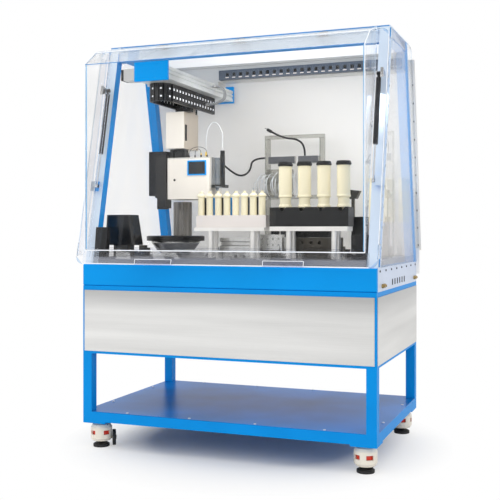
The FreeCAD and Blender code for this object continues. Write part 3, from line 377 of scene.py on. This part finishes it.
# The right face and the neck of the column take the darker cream of painted shade
paint("z_column", "cream", ("cream_in_painted_shade", within(turned=to_right), within(z=above(1.6045))))
paint("dosing_head", "cream",
      ("black", within(x=(-0.394, -0.366), z=(1.249, 1.281))),
      ("black", within(y=below(-0.031), z=above(1.3745)), within(y=above(0.001), z=above(1.3745))))
paint("head_display", "fascia", ("screen", within(y=above(-0.1465), turned=to_front)))
paint("powder_tool", "black")
paint("syringe_tool", "black", ("glass", within(x=(-0.18, -0.152))), ("alu", within(x=below(-0.1835))))

# What stands on the deck
paint("deck_fixtures", "pale_steel",
      ("black", within(x=above(0.555))),
      ("dark_steel_and_shade", within(x=above(0.231), y=above(-0.237), z=below(1.0))),
      ("dark_steel_and_shade", within(x=above(0.095), y=above(-0.237), z=below(0.93))),
      ("steel", within(y=above(-0.237), z=below(1.002))))
paint("small_rack", "rack_white")
paint("large_rack", "black")
paint("small_hoppers", "hopper")
paint("large_hoppers", "hopper", ("black", within(z=above(1.3045))))
paint("balance", "steel", ("shield", within(z=above(0.9935))), ("black", within(z=above(0.962))))
# The ioniser box's base below 0.9485 m takes the dark steel as painted shade under the box
paint("ioniser_box", "black_gloss", ("dark_steel_and_shade", within(z=below(0.9485))))
paint("handset", "black")
paint("side_instrument", "black")
paint("vial_module", "rack_white", ("hopper", within(z=above(1.062))))
paint("pump_unit", "frosted",
      ("black", within(x=below(0.012), y=(0.21, 0.234), z=above(1.5085))),
      ("black", within(y=below(0.2445), z=below(1.09))),
      ("alu", within(y=below(0.257), z=(1.36, 1.399))))

# Door, struts and casters
paint("door_sheet", "door_clear", ("grip", within(y=below(-0.4935), z=below(0.8915), side=(0.21, 0.41))))
paint("door_bay", "clear")
paint("door_fittings", "steel")
for side in ("left", "right"):
    paint(side + "_strut_tube", "black_gloss")
    paint(side + "_strut_rod", "chrome")
for corner in ("front_left", "front_right", "rear_right", "rear_left"):
    paint(corner + "_caster_housing", "caster")
    paint(corner + "_caster_wheel", "rubber")
    paint(corner + "_thumbwheel", "red")
    paint(corner + "_levelling_foot", "rubber")

# A face of a clear sheet whose area is less than this times its outline is an edge of the sheet, in metres
EDGE_FACE = 0.0026
for node in ("clear_panels", "door_sheet", "door_bay"):
    mesh = nodes[node].data
    mesh.materials.append(FINISHES["rim"])
    for face in mesh.polygons:
        spots = [mesh.vertices[n].co for n in face.vertices]
        around = sum((a - b).length for a, b in zip(spots, spots[1:] + spots[:1]))
        clear = mesh.materials[face.material_index] in (FINISHES["clear"], FINISHES["door_clear"])
        if clear and face.area / around < EDGE_FACE:
            face.material_index = len(mesh.materials) - 1

# Ways to make an added piece


def placed(name, data, material, body):
    """Put a mesh or curve in the scene as one piece that rides on a body."""
    data.materials.append(FINISHES[material])
    item = bpy.data.objects.new(name, data)
    scene.collection.objects.link(item)
    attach(item, body)
    return item


def shown(name, work, material, body, soft):
    """Turn finished bmesh work into one piece, with its corners softened."""
    mesh = bpy.data.meshes.new(name)
    work.to_mesh(mesh)
    work.free()
    item = placed(name, mesh, material, body)
    if soft:
        bevel = item.modifiers.new("corners", "BEVEL")
        bevel.width = soft
        bevel.segments = 2
        bevel.limit_method = "ANGLE"


def along(start, end):
    """The length of a line given in millimetres, and the place and turn of a bar on it, in metres."""
    a = Vector(start) / MM
    b = Vector(end) / MM
    turn = (b - a).to_track_quat("Z", "Y").to_matrix().to_4x4()
    return (b - a).length, Matrix.Translation((a + b) / 2) @ turn


def blocks(name, material, body, limits, soft=0.0008):
    """Blocks in one piece, each from its limits in millimetres: x, x, y, y, z, z."""
    work = bmesh.new()
    for x0, x1, y0, y1, z0, z1 in limits:
        corners = [work.verts.new((x / MM, y / MM, z / MM))
                   for x in (x0, x1) for y in (y0, y1) for z in (z0, z1)]
        for ring in ((0, 1, 3, 2), (4, 6, 7, 5), (0, 4, 5, 1), (2, 3, 7, 6), (0, 2, 6, 4), (1, 5, 7, 3)):
            work.faces.new([corners[n] for n in ring])
    shown(name, work, material, body, soft)


def rounds(name, material, body, rods, soft=0.0006):
    """Round bars in one piece, each with its start, end and two radii in millimetres."""
    work = bmesh.new()
    for start, end, first, last in rods:
        length, place = along(start, end)
        bmesh.ops.create_cone(work, cap_ends=True, segments=24, radius1=first / MM, radius2=last / MM,
                              depth=length, matrix=place)
    for face in work.faces:
        face.smooth = len(face.verts) == 4
    shown(name, work, material, body, soft)


def strips(name, material, body, lines, wide):
    """Thin square bars along lines, in millimetres, with corners softened by a fifth of their width."""
    work = bmesh.new()
    for start, end in lines:
        length, place = along(start, end)
        size = Matrix.Diagonal((wide / MM, wide / MM, length, 1))
        bmesh.ops.create_cube(work, size=1, matrix=place @ size)
    shown(name, work, material, body, wide / MM / 5)


def tubing(name, radius, fineness, steps):
    """An empty curve with a round section."""
    curve = bpy.data.curves.new(name, "CURVE")
    curve.dimensions = "3D"
    curve.bevel_depth = radius
    curve.bevel_resolution = fineness
    curve.resolution_u = steps
    return curve


def line_on(curve, points, order):
    """A smooth line on a curve, with these places as its control points."""
    line = curve.splines.new("NURBS")
    line.points.add(len(points) - 1)
    for point, spot in zip(line.points, points):
        point.co = (*spot, 1)
    line.order_u = order
    return line


def tube(name, points, radius, material, body, node):
    """A hose on one smooth line through the air, in place of the CAD node that it hides, in metres."""
    curve = tubing(name, radius, 5, 14)
    curve.use_fill_caps = True
    line_on(curve, points, 3).use_endpoint_u = True
    item = placed(name, curve, material, body)
    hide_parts(node)


# Bright rims where light leaves the edges of the clear sheets of the door
BAY_HALF = 661
BAY_FRONT = -498
BAY_PROFILE = [(-499, 927), (-499, 1788), (-403, 1861), (-319, 1886)]
cheeks = [((x, *a), (x, *b)) for x in (-BAY_HALF, BAY_HALF) for a, b in zip(BAY_PROFILE, BAY_PROFILE[1:])]
strips("bay_cheek_rims", "lit", "door", cheeks, 3.4)
strips("bay_cross_rims", "lit", "door",
       [((-BAY_HALF, y, z), (BAY_HALF, y, z)) for y, z in ((BAY_FRONT, 928.5), (-402, 1860))], 4.5)
strips("bay_top_rim", "blue_edge_reflection", "door", [((-BAY_HALF, BAY_FRONT, 1787), (BAY_HALF, BAY_FRONT, 1787))], 3)
strips("bay_inner_rims", "lit_blue", "door", [((x, -494, 934), (x, -494, 1784)) for x in (-655, 655)], 2.6)
strips("sheet_foot_rim", "lit", "door", [((-676, -494, 866.8), (676, -494, 866.8))], 4.5)
strips("sheet_side_rims", "lit", "door", [((x, -472.5, 962), (x, -265.5, 1880)) for x in (-712, 712)], 3)

# Painted highlights and reflections on the rims of the side walls and the roof, and bolts of the side walls
BOLT_FOOT_Y = -406
BOLT_FOOT_Z = 918
BOLT_LINE_SLOPE = 0.217
BOLT_PITCH = 104
strips("wall_front_rims", "blue_edge_reflection", "machine",
       [((x, -417, 867), (x, -190, 1913)) for x in (-703, 703)], 5)
bolts = []
for z in range(960, 1860, BOLT_PITCH):
    y = BOLT_FOOT_Y + BOLT_LINE_SLOPE * (z - BOLT_FOOT_Z)
    bolts += [((699 * way, y, z), (705 * way, y, z), 5, 4) for way in (-1, 1)]
rounds("wall_bolts", "dark_screw", "machine", bolts)
strips("roof_front_rim", "blue_edge_reflection", "machine", [((-698, -190.5, 1923), (698, -190.5, 1923))], 4.5)
strips("roof_side_rims", "lit", "machine", [((x, -188, 1924.5), (x, 250, 1924.5)) for x in (-698, 698)], 4)

# Cable chain of the beam: dark windows of painted shade, with a light bar below each
WINDOW_PITCH = 36
windows = [630 - WINDOW_PITCH * n for n in range(24)]
blocks("x_chain_window_shade", "shade_in_hollows", "machine",
       [(x + 2, x + 15, 85.2, 90, 1801, 1816) for x in windows], 0.0004)
blocks("x_chain_bars", "rack_white", "machine",
       [(x - 1, x + 17, 84.5, 86, 1791, 1795) for x in windows], 0.0004)

# Cable chain of the arm: bright fillings in the links of both runs and of the bend
CHAIN_START = -330
CHAIN_MIDDLE = -348.5
LINK_LONG = 33
SLOT_RADIUS = 52.6
SLOT_HALF = 5
links = [CHAIN_START + LINK_LONG * n for n in range(15)]
blocks("arm_chain_slots", "lit", "arm",
       [(x, x + 9, y + 8.2, y + 22.8, z, z + 11)
        for y in links for x in (-404, -302) for z in (1637, 1673)], 0.0004)
bend_slots = []
for angle in (202, 247, 292, 337):
    out = Vector((math.cos(math.radians(angle)), math.sin(math.radians(angle)), 0))
    across = SLOT_HALF * out.cross(Vector((0, 0, 1)))
    for z in (1642, 1678):
        middle = Vector((CHAIN_MIDDLE, CHAIN_START, z)) + SLOT_RADIUS * out
        bend_slots.append((middle - across, middle + across))
strips("arm_chain_bend_slots", "lit", "arm", bend_slots, 9)

# Painted shade: dark blocks in the insides of the vents in the right side of the plinth
VENT_PITCH = 54
blocks("vent_painted_shade", "shade_in_hollows", "machine",
       [(696, 699.2, y, y + 24, 777, 804) for y in range(-147, 160, VENT_PITCH)], 0)

# Glands of the two hoses on the arm
HOSE_ROWS = (36, 56)
rounds("hose_glands", "steel", "arm",
       [((-246, y, 1745), (-228, y, 1745), 8, 6.5) for y in HOSE_ROWS]
       + [((-292, y, 1655), (-276, y, 1655), 7, 6) for y in HOSE_ROWS])

# Slot of the column as a dark sheet of painted shade, top block of the column, yellow fittings and seam of
# the head
blocks("column_slot_shade", "shade_in_hollows", "column", [(-338.4, -337.4, -99, -77, 1462, 1542)], 0.0002)
blocks("column_top_block", "black", "column", [(-388, -310, -106, -61, 1604, 1688)], 0.002)
rounds("tube_ends", "yellow", "head", [((-232, -84, 1382), (-232, -84, 1404), 4.5, 3.2),
                                       ((-251, -100, 1388), (-251, -100, 1398), 3.4, 2.6)])
blocks("head_seam", "slate", "head", [(-415.6, -189.4, -143.6, 25.6, 1370, 1371.2)], 0.0002)

# Guide rails and small clamps on the deck, whose feet stand a hair above its plate
CLAMP_FOOT = 895.4
RAIL_ROWS = (-250, -236, -222)
RAILS = ((-330, -110, 925, 3), (-84, 92, 918, 2), (124, 262, 918, 2))
strips("deck_rails", "steel", "machine",
       [((x0, y, z), (x1, y, z)) for x0, x1, z, count in RAILS for y in RAIL_ROWS[:count]], 7)
CLAMP_PITCH = 37
clamps = [(-640 + CLAMP_PITCH * n, (n * 5) % 7, (n * 3) % 5) for n in range(33)]
clamps = [(x, a, b) for x, a, b in clamps if not -560 < x < -220]
blocks("deck_dark_clamps", "dark_steel_and_shade", "machine",
       [(x, x + 22 + 3 * b, -150 + 14 * a, -118 + 14 * a, CLAMP_FOOT, 915 + 6 * a) for x, a, b in clamps])
blocks("deck_light_clamps", "dark_bar", "machine",
       [(x + 8, x + 24 + 2 * b, -182 + 8 * b, -167 + 8 * b, CLAMP_FOOT, 908 + 4 * b) for x, a, b in clamps])
rounds("deck_clamps", "dark_screw", "machine",
       [((x, -268, 896), (x, -268, 908), 7, 6) for x in (-300, -150, 0, 40, 150, 200, 330, 380, 430)])

# Nozzles, bars and bottle bands of the pump unit
NOZZLES = (-90, -68)
rounds("nozzles", "steel", "machine",
       [((x, 190, 1100), (x, 190, 1214), 7, 7) for x in NOZZLES]
       + [((x, 190, 1214), (x, 190, 1240), 7, 2.2) for x in NOZZLES])
blocks("pump_bar", "dark_bar", "machine",
       [(x0, x1, 228.5, 231.5, 1362, 1397) for x0, x1 in ((-20, 121), (141, 246))])
BOTTLE_PITCH = 52
rounds("bottle_bands", "blue", "machine",
       [((x, 222, 1040), (x, 222, 1054), 22.6, 22.6) for x in (20 + BOTTLE_PITCH * n for n in range(4))])

# Coloured tabs behind the small hoppers, and the shadow gap under the large rack
TAB_PITCH = 43
TABS = (("dark", "black", (0, 2, 6)), ("blue", "blue", (1, 3)), ("grey", "slate", (5,)))
for name, material, places in TABS:
    blocks("rack_tabs_" + name, material, "machine",
           [(-154 + TAB_PITCH * n, -143 + TAB_PITCH * n, -281, -279, 1089, 1171) for n in places])
blocks("deck_shadow_bar", "black", "machine", [(226, 486, -236.8, -234, 988, 1030)])

# Painted highlights on the rims of the two door handles
GRIP_LONG = 184
strips("grip_rims", "lit", "door",
       [((x, -501.6, 889.4), (x + GRIP_LONG, -501.6, 889.4)) for x in (-400, 216)]
       + [((x, -506.6, 867), (x, -501.6, 889.4)) for x in (-399, -217, 217, 399)], 2.4)

# Turns of fine tube wound at the pump unit
TURN_POINTS = 12
TURN_TALL = 1.25
turns = tubing("tube_turns", 0.0016, 3, 8)
for n in range(20):
    centre = Vector((-0.064 + 0.0102 * n, 0.222, 1.24 + 0.008 * (n % 3)))
    twist = Matrix.Rotation(math.radians(40 + 14 * (n % 5)), 4, "Z")
    wide = 0.034 + 0.006 * (n % 4)
    angles = [2 * math.pi * k / TURN_POINTS for k in range(TURN_POINTS)]
    ring = [centre + twist @ Vector((wide * math.cos(a), 0, TURN_TALL * wide * math.sin(a))) for a in angles]
    line_on(turns, ring, 4).use_cyclic_u = True
placed("tube_turns", turns, "pale_tube", "machine")

# Hoses and cables, on the routes of the solids that they stand for
for n, row in enumerate(HOSE_ROWS, start=1):
    y = row / MM
    tube("arm_hose_%d" % n,
         [(-0.246, y, 1.745), (-0.185, y, 1.745), (-0.185, y, 1.655), (-0.292, y, 1.655)],
         0.004, "grey_hose", "arm", "arm_hoses")
tube("pump_cable", [(0, 0.222, 1.525), (0.062, 0.222, 1.490), (0.140, 0.222, 1.484), (0.172, 0.244, 1.448),
                    (0.172, 0.244, 1.398)],
     0.005, "rubber", "machine", "pump_hoses")
tube("waste_cable", [(-0.046, 0.262, 1.395), (-0.122, 0.262, 1.395), (-0.126, 0.250, 1.330),
                     (-0.160, 0.225, 1.300), (-0.205, 0.205, 1.315), (-0.250, 0.190, 1.358)],
     0.005, "rubber", "machine", "pump_hoses")
tube("head_line_wide", [(-0.315, -0.1, 1.388), (-0.315, -0.1, 1.408), (-0.297, -0.1, 1.424),
                        (-0.267, -0.1, 1.430), (-0.237, -0.1, 1.424), (-0.219, -0.1, 1.408),
                        (-0.219, -0.1, 1.388)],
     0.0012, "rubber", "head", "head_hoses")
tube("head_line_short", [(-0.283, -0.1, 1.388), (-0.283, -0.1, 1.404), (-0.275, -0.1, 1.418),
                         (-0.259, -0.1, 1.418), (-0.251, -0.1, 1.404), (-0.251, -0.1, 1.388)],
     0.0012, "rubber", "head", "head_hoses")
tube("head_line_tall", [(-0.232, -0.084, 1.374), (-0.232, -0.084, 1.422), (-0.231, -0.084, 1.472),
                        (-0.223, -0.084, 1.520), (-0.198, -0.084, 1.551), (-0.166, -0.084, 1.540),
                        (-0.146, -0.088, 1.500), (-0.138, -0.095, 1.488), (-0.138, -0.098, 1.448),
                        (-0.138, -0.098, 1.406)],
     0.0016, "pale_tube", "head", "head_hoses")

# Camera where the photograph was taken from: level, turned to the left, its focal length in photo pixels
CAMERA_SPOT = (1.50751, -4.02424, 1.02132)
CAMERA_TURN = 20.95
LENS_PIXELS = 878.26
LENS_SHIFT = -0.03986
PHOTO_PIXELS = 500
SENSOR_WIDE = 36
data = bpy.data.cameras.new("view")
data.sensor_width = SENSOR_WIDE
data.lens = LENS_PIXELS / PHOTO_PIXELS * SENSOR_WIDE
data.shift_y = LENS_SHIFT
data.clip_end = 60
camera = bpy.data.objects.new("view", data)
camera.location = CAMERA_SPOT
camera.rotation_euler = (math.pi / 2, 0, math.radians(CAMERA_TURN))
scene.collection.objects.link(camera)
scene.camera = camera


def lamp(name, spot, target, wide, high, power):
    """A soft lamp that faces a point and isn't seen itself, in metres and watts."""
    light = bpy.data.lights.new(name, "AREA")
    light.shape = "RECTANGLE"
    light.size = wide
    light.size_y = high
    light.energy = power
    item = bpy.data.objects.new(name, light)
    scene.collection.objects.link(item)
    item.location = spot
    item.visible_glossy = False
    item.visible_transmission = False
    item.visible_camera = False
    item.rotation_euler = (Vector(target) - Vector(spot)).to_track_quat("-Z", "Y").to_euler()


lamp("overhead", (-0.3, -0.6, 4.6), (0, 0, 0.8), 4.0, 4.0, 30)
lamp("front_left", (-3.2, -4.4, 2.6), (0, 0, 1.0), 2.6, 2.6, 26)
lamp("front_right", (3.6, -3.4, 2.4), (0, 0, 1.0), 2.6, 2.6, 14)
lamp("behind", (0.5, 4.2, 2.8), (0, 0, 1.2), 2.6, 2.6, 14)
lamp("inside", (0.28, -0.34, 1.62), (0.1, 0.5, 0.9), 0.9, 0.3, 4.2)

# White surroundings: at a strength of 1, the eye, metal and glass all see plain white
WHITE = (1, 1, 1, 1)
world = bpy.data.worlds.new("studio")
world.use_nodes = True
scene.world = world
surroundings = world.node_tree.nodes["Background"]
surroundings.inputs["Color"].default_value = WHITE
surroundings.inputs["Strength"].default_value = 1.0

# Floor that turns to plain white away from the machine, for the eye and through clear sheets
FLOOR_HALF = 9
FLOOR_TONE = (0.87, 0.862, 0.846, 1)
FADE_START = 0.5
FADE_END = 0.95
mesh = bpy.data.meshes.new("floor")
corners = [(x * FLOOR_HALF, y * FLOOR_HALF, 0) for x, y in ((-1, -1), (1, -1), (1, 1), (-1, 1))]
mesh.from_pydata(corners, [], [(0, 1, 2, 3)])
floor = bpy.data.objects.new("floor", mesh)
scene.collection.objects.link(floor)
ground = Tree("floor_white")
matt = ground.add("ShaderNodeBsdfDiffuse")
matt.inputs["Color"].default_value = FLOOR_TONE
glow = ground.add("ShaderNodeEmission")
glow.inputs["Color"].default_value = WHITE
distance = ground.add("ShaderNodeVectorMath", operation="LENGTH")
ground.join(ground.coords.outputs["Object"], distance.inputs[0])
fade = ground.add("ShaderNodeMapRange")
fade.inputs["From Min"].default_value = FADE_START
fade.inputs["From Max"].default_value = FADE_END
ground.join(distance.outputs["Value"], fade.inputs["Value"])
path = ground.add("ShaderNodeLightPath")
plain = ground.reckon("MAXIMUM", path.outputs["Is Camera Ray"], path.outputs["Is Transmission Ray"])
share = ground.reckon("MULTIPLY", fade.outputs[0], plain)
ground.join(ground.mix(share, matt.outputs[0], glow.outputs[0]), ground.out.inputs[0])
floor.data.materials.append(ground.material)

scene.view_settings.view_transform = "Standard"
